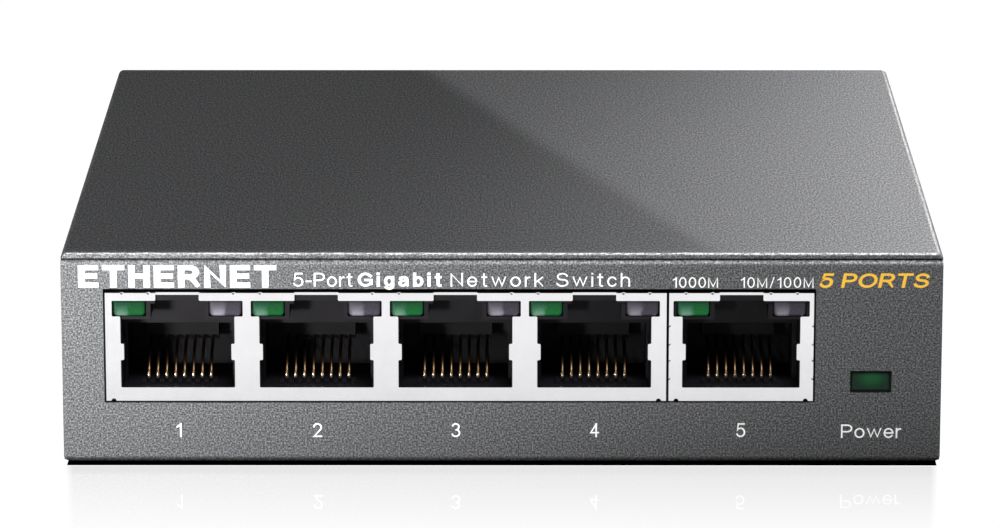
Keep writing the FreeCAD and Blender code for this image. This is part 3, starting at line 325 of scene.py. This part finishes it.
def light_pipe():
    """Dark green acrylic, with a painted glow where the lamp stands behind it."""
    made, nodes, shader = material("light_pipe")
    low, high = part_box("power_light_lens")
    middle = (low + high) / 2
    x, _, z = nodes.axes()
    away_x = nodes.math("DIVIDE", nodes.math("SUBTRACT", x, middle.x + 0.1 * MM), 1.9 * MM)
    away_z = nodes.math("DIVIDE", nodes.math("SUBTRACT", z, middle.z + 0.4 * MM), 1.3 * MM)
    away = nodes.math("ADD", nodes.math("POWER", away_x, 2.0), nodes.math("POWER", away_z, 2.0))
    fine = nodes.noise(0.2 * MM, detail=3)
    # Painted glow: lighter green round the lamp's place, darker towards the pipe's edges.
    glow = nodes.ramp(away, (0.0, (0.006, 0.075, 0.02)), (0.5, (0.005, 0.036, 0.015)),
                      (1.0, (0.006, 0.02, 0.012)))
    base = nodes.mix(nodes.math("MULTIPLY", fine, 0.3), glow, (0.006, 0.03, 0.015))
    drive(nodes, shader, Base_Color=base, Roughness=nodes.ramp(fine, (0.3, 0.3), (0.7, 0.45)),
          Normal=nodes.bump(fine, 0.004 * MM, 0.4))
    shader.inputs["Specular IOR Level"].default_value = 0.15
    return made


def board_laminate():
    """Solder mask over copper tracks on glass-epoxy laminate."""
    made, nodes, shader = material("board_laminate")
    tracks = nodes.add("TexVoronoi", Vector=nodes.place(1, 1, 0.01), Scale=1 / (3.2 * MM))
    tracks.distance = "MANHATTAN"
    phase = nodes.math("FRACT", nodes.math("MULTIPLY", tracks.outputs["Distance"], 3.0))
    line = nodes.step(phase, 0.42, 0.5)
    weave = nodes.noise(0.3 * MM, detail=2)
    base = nodes.mix(line, (0.008, 0.07, 0.028), (0.02, 0.14, 0.05))
    base = nodes.mix(nodes.math("MULTIPLY", weave, 0.3), base, (0.01, 0.05, 0.03))
    drive(nodes, shader, Base_Color=base, Roughness=nodes.ramp(weave, (0.3, 0.25), (0.7, 0.35)),
          Normal=nodes.bump(line, 0.02 * MM, 0.5))
    return made


def label_film():
    """Satin film with a printed grey border and a faint paper grain."""
    made, nodes, shader = material("label_film")
    low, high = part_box("bottom_label")
    middle, half = (low + high) / 2, (high - low) / 2
    fibre = nodes.noise(0.4 * MM, detail=5, vector=nodes.place(1, 0.25, 1))
    x, y, _ = nodes.axes()
    margin_x = nodes.math("SUBTRACT", half.x, nodes.math("ABSOLUTE", nodes.math("SUBTRACT", x, middle.x)))
    margin_y = nodes.math("SUBTRACT", half.y, nodes.math("ABSOLUTE", nodes.math("SUBTRACT", y, middle.y)))
    margin = nodes.math("MINIMUM", margin_x, margin_y)
    border = nodes.math("MULTIPLY", nodes.step(margin, 1.2 * MM, 1.25 * MM),
                        nodes.step(margin, 1.65 * MM, 1.6 * MM))
    base = nodes.mix(fibre, (0.6, 0.6, 0.59), (0.75, 0.75, 0.73))
    base = nodes.mix(border, base, (0.12, 0.12, 0.13))
    drive(nodes, shader, Base_Color=base, Roughness=nodes.ramp(fibre, (0.3, 0.42), (0.7, 0.55)),
          Normal=nodes.bump(fibre, 0.01 * MM, 0.3))
    return made


def print_ink(name, colour):
    """Screen-printed ink: slightly raised, with pinholes where the coat's grain shows."""
    made, nodes, shader = material(name)
    grain = nodes.noise(0.2 * MM, detail=3)
    thin = [part * 0.72 for part in colour]
    base = nodes.ramp(grain, (0.28, thin), (0.42, colour))
    drive(nodes, shader, Base_Color=base, Roughness=nodes.ramp(grain, (0.3, 0.5), (0.7, 0.62)),
          Normal=nodes.bump(grain, 0.01 * MM, 0.4))
    return made


MATERIALS = {
    "case_paint": powder_coat(),
    "tin_shield": tin_plate(),
    "socket_plastic": moulded("socket_plastic", (0.006, 0.005, 0.0065), 0.55, shine=0.12),
    "carrier_plastic": moulded("carrier_plastic", (0.005, 0.005, 0.0055), 0.6, shine=0.08),
    "contact_gold": sprung_gold(),
    "power_lens": light_pipe(),
    "foot_rubber": moulded("foot_rubber", (0.02, 0.02, 0.02), 0.75, 0.2 * MM),
    "zinc_screw": metal("zinc_screw", (0.66, 0.67, 0.7), 0.3),
    "plate_label": label_film(),
    "board_laminate": board_laminate(),
    "post_brass": metal("post_brass", (0.74, 0.62, 0.4), 0.3),
    "lamp_white": moulded("lamp_white", (0.7, 0.7, 0.64), 0.3),
    "chip_resin": moulded("chip_resin", (0.022, 0.022, 0.024), 0.55, 0.12 * MM),
    "thermal_sheet": moulded("thermal_sheet", (0.3, 0.33, 0.38), 0.8),
    "sink_alloy": metal("sink_alloy", (0.6, 0.61, 0.64), 0.35, (1, 0.05, 1)),
    "can_steel": metal("can_steel", (0.62, 0.62, 0.63), 0.22, (0.1, 1, 1)),
    "coil_ferrite": moulded("coil_ferrite", (0.07, 0.07, 0.075), 0.65),
    "can_alloy": capped_metal(),
    "chip_ceramic": moulded("chip_ceramic", (0.06, 0.05, 0.045), 0.35),
    "inlet_plastic": moulded("inlet_plastic", (0.018, 0.018, 0.019), 0.42),
    "inlet_metal": metal("inlet_metal", (0.8, 0.78, 0.72), 0.24),
    "switch_plastic": moulded("switch_plastic", (0.03, 0.03, 0.03), 0.5),
    "plunger_plastic": moulded("plunger_plastic", (0.55, 0.55, 0.52), 0.4),
}


def own_materials():
    """The nodes whose material follows their own shape."""
    own = {}
    for port in PORTS:
        # Painted light and shade: the green lamps are painted darker at the left port and lighter port by
        # port towards the right.
        own["left_led_%d" % port] = lamp("left_led_%d" % port, GREEN_LAMP, 0.45 + 0.1 * port)
        own["right_led_%d" % port] = lamp("right_led_%d" % port, SMOKE_LAMP, 0.75)
        own["lan_transformer_%d" % port] = leaded_resin("lan_transformer_%d" % port, 1.55 * MM, False)
    own["switch_chip"] = leaded_resin("switch_chip", 0.95 * MM, True)
    own["flash_chip"] = leaded_resin("flash_chip", 1.25 * MM, False)
    return own


def paint_cad_nodes():
    """Gives each CAD node its own material, or else its slot's."""
    own = own_materials()
    for entry in frame["record"]["subparts"]:
        name = entry["node"]
        piece = frame["nodes"][name]
        piece.data.materials.clear()
        piece.data.materials.append(own.get(name) or MATERIALS[entry["material_slot"]])


# Sprung wires in the sockets

WIRE_COUNT = 8
WIRE_SIDES = 12
WIRE_HALF_WIDTH = 0.18 * MM
WIRE_HALF_DEPTH = 0.13 * MM


def new_piece(name, mesh, paint):
    """A new piece of the switch, riding on its body."""
    mesh.materials.append(paint)
    piece = bpy.data.objects.new(name, mesh)
    scene.collection.objects.link(piece)
    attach(piece, BODY)
    return piece


def smooth_path(corners, steps):
    """A cubic curve through four control points in the (y, z) plane, sampled in equal steps."""
    first, second, third, last = [Vector(corner) for corner in corners]
    points = []
    for step in range(steps + 1):
        part = step / steps
        rest = 1 - part
        points.append(first * rest ** 3 + second * 3 * rest ** 2 * part
                      + third * 3 * rest * part ** 2 + last * part ** 3)
    return points


def wire_path(low, high):
    """One wire's middle line: level out of the insert, drooping, and curled under at its tip."""
    nose = low.y + 5.95 * MM
    level = high.z - 0.14 * MM
    tip = Vector((low.y + 0.17 * MM, low.z + 3.95 * MM))
    droop = [(nose, level), (nose - 2.6 * MM, level - 0.15 * MM),
             tip + Vector((0.75, 2.0)) * MM, tip + Vector((0.06, 0.62)) * MM]
    curl = [tip + Vector((-0.02, 0.42)) * MM, tip + Vector((-0.08, 0.2)) * MM,
            tip + Vector((0.02, 0.02)) * MM, tip + Vector((0.22, -0.05)) * MM]
    return smooth_path(droop, 18) + smooth_path(curl, 6)


def wires(port):
    """Eight round-edged wires in one socket, in place of the plain bent strips."""
    node = "port_contacts_%d" % port
    low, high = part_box(node)
    path = wire_path(low, high)
    tail = Vector((high.y - 0.14 * MM, low.z + 0.1 * MM))
    elbow = [(tail.x, tail.y), (tail.x, high.z - 0.9 * MM), (tail.x - 0.1 * MM, high.z - 0.16 * MM),
             (tail.x - 0.9 * MM, high.z - 0.14 * MM)]
    path = [tail] + smooth_path(elbow, 8)[1:] + path
    pitch = (high.x - low.x - 2 * WIRE_HALF_WIDTH) / (WIRE_COUNT - 1)
    spots, faces = [], []
    for wire in range(WIRE_COUNT):
        middle = low.x + WIRE_HALF_WIDTH + wire * pitch
        start = len(spots)
        for step, here in enumerate(path):
            ahead = path[min(step + 1, len(path) - 1)]
            behind = path[max(step - 1, 0)]
            along = (ahead - behind).normalized()
            up = Vector((-along.y, along.x))
            for side in range(WIRE_SIDES):
                turn = 2 * math.pi * side / WIRE_SIDES
                wide = WIRE_HALF_WIDTH * rounded(math.cos(turn))
                thick = WIRE_HALF_DEPTH * rounded(math.sin(turn))
                spots.append((middle + wide, here.x + up.x * thick, here.y + up.y * thick))
        for step in range(len(path) - 1):
            ring = start + step * WIRE_SIDES
            beyond = ring + WIRE_SIDES
            for side in range(WIRE_SIDES):
                after = (side + 1) % WIRE_SIDES
                faces.append((ring + side, ring + after, beyond + after, beyond + side))
        faces.append(tuple(range(start, start + WIRE_SIDES)))
        faces.append(tuple(reversed(range(len(spots) - WIRE_SIDES, len(spots)))))
    mesh = bpy.data.meshes.new("sprung_wires_%d" % port)
    mesh.from_pydata(spots, [], faces)
    mesh.polygons.foreach_set("use_smooth", [len(face) == 4 for face in faces])
    piece = new_piece("sprung_wires_%d" % port, mesh, MATERIALS["contact_gold"])
    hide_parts(node)


def rounded(part):
    """Squares a circle's cosine or sine off a little, so that the section is a rounded oblong."""
    return math.copysign(abs(part) ** 0.75, part)


# Printed legends, drawn with an oval-nibbed pen


def arc(x, y, wide, high, start, end):
    """Points round an ellipse between two angles in degrees."""
    steps = max(2, round(abs(end - start) / 15))
    angles = [math.radians(start + (end - start) * step / steps) for step in range(steps + 1)]
    return [(x + wide * math.cos(angle), y + high * math.sin(angle)) for angle in angles]


# Each letter's width and strokes. A capital is 1 high and a small letter SMALL high; the widths and
# strokes are those of the pen's middle line.
SMALL = 0.71
GLYPHS = {
    " ": (0.26, []),
    "0": (0.50, [arc(0.25, 0.5, 0.25, 0.5, 90, 450)]),
    "1": (0.24, [[(0, 0.76), (0.13, 0.84), (0.24, 1)], [(0.24, 0), (0.24, 1)]]),
    "2": (0.52, [arc(0.26, 0.71, 0.25, 0.29, 168, -32) + [(0, 0), (0.54, 0)]]),
    "3": (0.50, [arc(0.24, 0.76, 0.22, 0.24, 160, -75), arc(0.24, 0.27, 0.26, 0.27, 80, -160)]),
    "4": (0.52, [[(0.39, 0), (0.39, 1)], [(0.39, 1), (0, 0.3), (0.54, 0.3)]]),
    "5": (0.52, [[(0.48, 1), (0.1, 1), (0.03, 0.5)] + arc(0.25, 0.33, 0.27, 0.33, 135, -155)]),
    "-": (0.26, [[(0, 0.37), (0.26, 0.37)]]),
    "/": (0.30, [[(0, -0.03), (0.3, 1.03)]]),
    "E": (0.54, [[(0.54, 1), (0, 1), (0, 0), (0.56, 0)], [(0, 0.52), (0.5, 0.52)]]),
    "G": (0.76, [arc(0.4, 0.5, 0.4, 0.5, 38, 312) + [(0.78, 0.14), (0.78, 0.47), (0.42, 0.47)]]),
    "H": (0.60, [[(0, 0), (0, 1)], [(0.6, 0), (0.6, 1)], [(0, 0.52), (0.6, 0.52)]]),
    "M": (0.70, [[(0, 0), (0, 1), (0.35, 0.06), (0.7, 1), (0.7, 0)]]),
    "N": (0.62, [[(0, 0), (0, 1), (0.62, 0), (0.62, 1)]]),
    "O": (0.80, [arc(0.4, 0.5, 0.4, 0.5, 90, 450)]),
    "P": (0.56, [[(0, 0), (0, 1)],
                 [(0, 1), (0.32, 1)] + arc(0.32, 0.73, 0.25, 0.27, 75, -90) + [(0, 0.46)]]),
    "R": (0.62, [[(0, 0), (0, 1)],
                 [(0, 1), (0.34, 1)] + arc(0.34, 0.74, 0.25, 0.26, 75, -90) + [(0, 0.48)],
                 [(0.3, 0.48), (0.42, 0.4), (0.64, 0)]]),
    "S": (0.60, [arc(0.31, 0.75, 0.27, 0.25, 15, 245) + arc(0.3, 0.26, 0.31, 0.26, 70, -165)]),
    "T": (0.62, [[(0, 1), (0.62, 1)], [(0.31, 0), (0.31, 1)]]),
    "a": (0.48, [arc(0.23, 0.5, 0.22, 0.21, 160, 0) + [(0.45, 0.12), (0.5, 0)],
                 [(0.45, 0.44), (0.22, 0.4)] + arc(0.2, 0.2, 0.2, 0.2, 95, 275) + [(0.45, 0.2)]]),
    "b": (0.46, [[(0, 0), (0, 1)], arc(0.23, 0.355, 0.23, 0.355, 90, 450)]),
    "c": (0.44, [arc(0.24, 0.355, 0.24, 0.355, 35, 325)]),
    "e": (0.48, [[(0, 0.36), (0.48, 0.36)], arc(0.24, 0.355, 0.24, 0.355, 0, 325)]),
    "g": (0.46, [arc(0.23, 0.37, 0.23, 0.34, 90, 450),
                 [(0.46, SMALL), (0.46, 0)] + arc(0.24, -0.04, 0.22, 0.22, 0, -150)]),
    "h": (0.44, [[(0, 0), (0, 1)], [(0, 0.4)] + arc(0.22, 0.44, 0.22, 0.27, 155, 0) + [(0.44, 0)]]),
    "i": (0.0, [[(0, 0), (0, SMALL)], [(0, 0.995), (0, 1)]]),
    "k": (0.42, [[(0, 0), (0, 1)], [(0.4, SMALL), (0, 0.28)], [(0.16, 0.42), (0.44, 0)]]),
    "o": (0.50, [arc(0.25, 0.355, 0.25, 0.355, 90, 450)]),
    "r": (0.22, [[(0, 0), (0, SMALL)], [(0, 0.4)] + arc(0.22, 0.4, 0.22, 0.3, 160, 75)]),
    "s": (0.42, [arc(0.21, 0.53, 0.19, 0.18, 20, 240) + arc(0.21, 0.18, 0.22, 0.18, 65, -160)]),
    "t": (0.24, [[(0.11, 0.95), (0.11, 0.14)] + arc(0.22, 0.12, 0.11, 0.12, 200, 280),
                 [(0, SMALL), (0.25, SMALL)]]),
    "w": (0.76, [[(0, SMALL), (0.19, 0), (0.38, SMALL), (0.57, 0), (0.76, SMALL)]]),
}

INKS = {
    "white": print_ink("ink_white", (0.88, 0.89, 0.88)),
    "yellow": print_ink("ink_yellow", (0.84, 0.48, 0.035)),
}
# How far the ink stands off the panel, and how far each stroke's layer stands off the one before.
PRINT_LIFT = 0.03 * MM
PRINT_LAYER = 0.004 * MM
# A sharp corner's mitre stops growing at this cosine.
MITRE_LIMIT = 0.45


def pen_stroke(path, nib):
    """Pairs of points on a stroke's two sides: mitred corners, and ends squared off past the end."""
    wide, high = nib
    path = [Vector(point) for point in path]
    closed = (path[0] - path[-1]).length < 1e-6
    sides = []
    for step, here in enumerate(path):
        before = path[step - 1] if step else path[-2] if closed else None
        after = path[step + 1] if step < len(path) - 1 else path[1] if closed else None
        into = (here - before).normalized() if before else (after - here).normalized()
        out = (after - here).normalized() if after else into
        turn = (into + out).normalized()
        across = Vector((-turn.y * wide, turn.x * high)) / 2 / max(MITRE_LIMIT, turn.dot(out))
        past = Vector((0, 0))
        if not before or not after:
            past = Vector((out.x * wide, out.y * high)) / 2 * (-1 if not before else 1)
        sides.append((here + past + across, here + past - across))
    return sides


def letter_faces(letter, nib, stretch):
    """The quads of each stroke of a letter, kept inside the letter's own width and height."""
    wide, high = nib
    width, strokes = GLYPHS[letter]
    layers = []
    for stroke in strokes:
        low, roof = min(0, min(y for _, y in stroke)), max(y for _, y in stroke)
        inset = [(x * stretch, high / 2 + y * (1 - high)) for x, y in stroke]
        floor, top = low * (1 - high), roof * (1 - high) + high
        sides = [[(min(max(x, -wide / 2), width * stretch + wide / 2), min(max(y, floor), top))
                  for x, y in pair] for pair in pen_stroke(inset, nib)]
        layers.append([(left, right, next_right, next_left)
                       for (left, right), (next_left, next_right) in zip(sides, sides[1:])])
    return layers


def legend(name, text, left, base, height, width, ink="white", nib=(0.12, 0.11), slant=0.0,
           stretch=1.0, rear=False):
    """A line of print on the front or rear panel, with capitals `height` tall and `width` long in all."""
    inks = [GLYPHS[letter][0] * stretch + (nib[0] if letter != " " else 0) for letter in text]
    gap = (width / height - slant - sum(inks)) / max(1, len(text) - 1)
    panel = cad_box[1].y + PRINT_LIFT if rear else cad_box[0].y - PRINT_LIFT
    side = -1 if rear else 1
    spots, faces = [], []
    start = nib[0] / 2
    for letter, wide in zip(text, inks):
        for layer, quads in enumerate(letter_faces(letter, nib, stretch)):
            for quad in quads:
                first = len(spots)
                for x, z in quad:
                    across = start + x + slant * z
                    spots.append((left + side * across * height, panel - side * layer * PRINT_LAYER,
                                  base + z * height))
                faces.append(tuple(range(first, first + 4)))
        start += wide + gap
    mesh = bpy.data.meshes.new(name)
    mesh.from_pydata(spots, [], faces)
    new_piece(name, mesh, INKS[ink])


def front_print():
    """The legends above the sockets, the port numbers below them and the power light's name."""
    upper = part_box("jack_shield_1_4")[1].z
    title, line, small = upper + 0.68 * MM, upper + 0.78 * MM, upper + 0.66 * MM
    legend("print_title", "ETHERNET", -47.9 * MM, title, 2.6 * MM, 22.4 * MM, nib=(0.28, 0.22),
           stretch=1.1)
    legend("print_kind_a", "5-Port", -23.6 * MM, line, 1.62 * MM, 6.7 * MM, stretch=1.15)
    legend("print_kind_b", "Gigabit", -16.3 * MM, line, 1.65 * MM, 9.5 * MM, nib=(0.22, 0.17),
           stretch=1.06)
    legend("print_kind_c", "Network Switch", -5.8 * MM, line, 1.62 * MM, 20.3 * MM, stretch=1.22)
    legend("print_speed_high", "1000M", 19.3 * MM, small, 1.25 * MM, 5.15 * MM, stretch=1.12)
    legend("print_speed_low", "10M/100M", 27.0 * MM, small, 1.25 * MM, 8.25 * MM, stretch=1.12)
    legend("print_ports", "5 PORTS", 35.8 * MM, small, 1.7 * MM, 12.7 * MM, "yellow",
           nib=(0.22, 0.17), slant=0.2, stretch=1.3)
    for port in PORTS:
        low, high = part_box("port_contacts_%d" % port)
        wide = (GLYPHS[str(port)][0] + 0.12) * 1.55 * MM
        legend("print_digit_%d" % port, str(port), (low.x + high.x - wide) / 2, 3.45 * MM, 1.66 * MM, wide)
    legend("print_power", "Power", 38.6 * MM, 3.35 * MM, 1.62 * MM, 6.85 * MM, stretch=1.2)


def rear_print():
    """The names of the inlet and the reset hole."""
    inlet_low, inlet_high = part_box("dc_inlet_housing")
    middle = (inlet_low.x + inlet_high.x) / 2
    base = inlet_low.z - 3.4 * MM
    legend("print_inlet", "Power", middle + 3.4 * MM, base, 1.5 * MM, 6.8 * MM, rear=True)
    button_low, button_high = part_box("reset_plunger")
    middle = (button_low.x + button_high.x) / 2
    legend("print_reset", "Reset", middle + 3.0 * MM, base, 1.5 * MM, 6.0 * MM, rear=True)


# Floor, light and camera


def table():
    """A glowing white table with a painted shadow under the switch, where its glow is cut off, and a
    polished strip in front that mirrors it.
    """
    made = bpy.data.materials.new("white_table")
    made.use_nodes = True
    nodes = Nodes(made.node_tree)
    x, y, _ = nodes.axes()
    near, side = cad_box[0].y, cad_box[1].x
    inset = 0.3 * MM
    dimmed = 60 * MM
    mirrored = 36 * MM
    taper = 0.082
    # Painted shadow: the table's glow is cut off inside the switch's footprint, so the gap under the case
    # shows dark.
    clear_x = nodes.math("GREATER_THAN", nodes.math("ABSOLUTE", x), side - inset)
    clear_y = nodes.math("GREATER_THAN", nodes.math("ABSOLUTE", y), -near - inset)
    clear = nodes.math("MAXIMUM", clear_x, clear_y)
    seen = nodes.tree.nodes.new("ShaderNodeLightPath").outputs["Is Camera Ray"]
    shade = nodes.ramp(nodes.step(y, near, near - dimmed), (0, 0.1), (0.45, 0.86), (1, 0.98))
    glow = nodes.math("MULTIPLY", nodes.mix(seen, shade, 1.03), clear)
    shine = nodes.add("Emission", Color=1.0, Strength=glow)
    gloss = nodes.add("BsdfGlossy", Roughness=0.02, Color=1.0)
    ahead = nodes.math("SUBTRACT", near, y)
    spread = nodes.math("ADD", nodes.math("ABSOLUTE", x), nodes.math("MULTIPLY", ahead, taper))
    strip = nodes.math("MULTIPLY", nodes.math("GREATER_THAN", ahead, 0),
                       nodes.step(spread, side, side - 1 * MM))
    fade = nodes.ramp(nodes.step(ahead, mirrored, 0), (0, 0.0), (0.3, 0.07), (1, 0.25))
    polish = nodes.math("MULTIPLY", nodes.math("MULTIPLY", fade, strip), seen)
    both = nodes.add("MixShader", Fac=polish)
    nodes.feed(both.inputs[1], shine.outputs[0])
    nodes.feed(both.inputs[2], gloss.outputs[0])
    output = nodes.tree.nodes.new("ShaderNodeOutputMaterial")
    nodes.feed(output.inputs["Surface"], both.outputs[0])
    mesh = bpy.data.meshes.new("table")
    reach = 6.0
    corners = [(-reach, -reach), (reach, -reach), (reach, reach), (-reach, reach)]
    mesh.from_pydata([(x, y, cad_box[0].z) for x, y in corners], [], [(0, 1, 2, 3)])
    mesh.materials.append(made)
    piece = bpy.data.objects.new("table", mesh)
    scene.collection.objects.link(piece)


def aim(name, light, place, target):
    """A lamp at its place, turned towards its target."""
    piece = bpy.data.objects.new(name, light)
    piece.location = place
    piece.rotation_mode = "QUATERNION"
    piece.rotation_quaternion = (Vector(target) - Vector(place)).to_track_quat("-Z", "Y")
    scene.collection.objects.link(piece)


def softbox(name, place, target, size, power, spread=180):
    """A rectangular lamp; a small spread in degrees narrows its beam."""
    light = bpy.data.lights.new(name, "AREA")
    light.shape = "RECTANGLE"
    light.size, light.size_y = size
    light.spread = math.radians(spread)
    light.energy = power
    aim(name, light, place, target)


def spotlight(name, place, target, power, degrees, blend, radius):
    """A round beam of the given angle, with a soft or a hard edge."""
    light = bpy.data.lights.new(name, "SPOT")
    light.energy = power
    light.spot_size = math.radians(degrees)
    light.spot_blend = blend
    light.shadow_soft_size = radius
    aim(name, light, place, target)


def lighting():
    """Soft light all round, a bright lip on the cover, and beams that shade the paint sideways."""
    world = bpy.data.worlds.new("studio")
    scene.world = world
    world.use_nodes = True
    nodes = Nodes(world.node_tree)
    seen = nodes.tree.nodes.new("ShaderNodeLightPath").outputs["Is Camera Ray"]
    strength = nodes.math("ADD", nodes.math("MULTIPLY", seen, 0.95), 0.08)
    background = nodes.add("Background", Color=1.0, Strength=strength)
    output = nodes.tree.nodes.new("ShaderNodeOutputWorld")
    nodes.feed(output.inputs["Surface"], background.outputs[0])
    softbox("overhead", (0.14, 0.05, 0.36), (0.03, 0, 0.02), (0.25, 0.2), 0.22)
    softbox("front_fill", (0.1, -0.5, 0.7), (0.02, 0, 0.01), (0.4, 0.2), 7.5)
    softbox("edge_strip", (0.01, -0.0497, 0.1), (0.01, -0.0497, 0), (0.12, 0.0015), 0.005, 2)
    spotlight("front_left", (-0.25, -0.45, 0.02), (-0.062, -0.05, 0.016), 31, 15.5, 1.0, 0.05)
    spotlight("top_right", (0.22, 0.52, 0.28), (0.075, 0, 0.025), 7.5, 16, 1.0, 0.02)
    spotlight("top_edge", (0.22, 0.52, 0.28), (0.359, 0.531, 0.0145), 4.0, 160, 0.003, 0.001)


def camera():
    """A long lens in front of the switch and a little above."""
    data = bpy.data.cameras.new("camera")
    data.sensor_width = 36
    data.lens = 199.8
    data.clip_end = 20
    piece = bpy.data.objects.new("camera", data)
    piece.location = (0.6 * MM, -656.7 * MM, 178 * MM)
    piece.rotation_euler = (math.radians(90 - 14.24), 0, math.radians(0.076))
    scene.collection.objects.link(piece)
    scene.camera = piece


paint_cad_nodes()
for port in PORTS:
    wires(port)
front_print()
rear_print()
table()
lighting()
camera()
scene.view_settings.view_transform = "Standard"
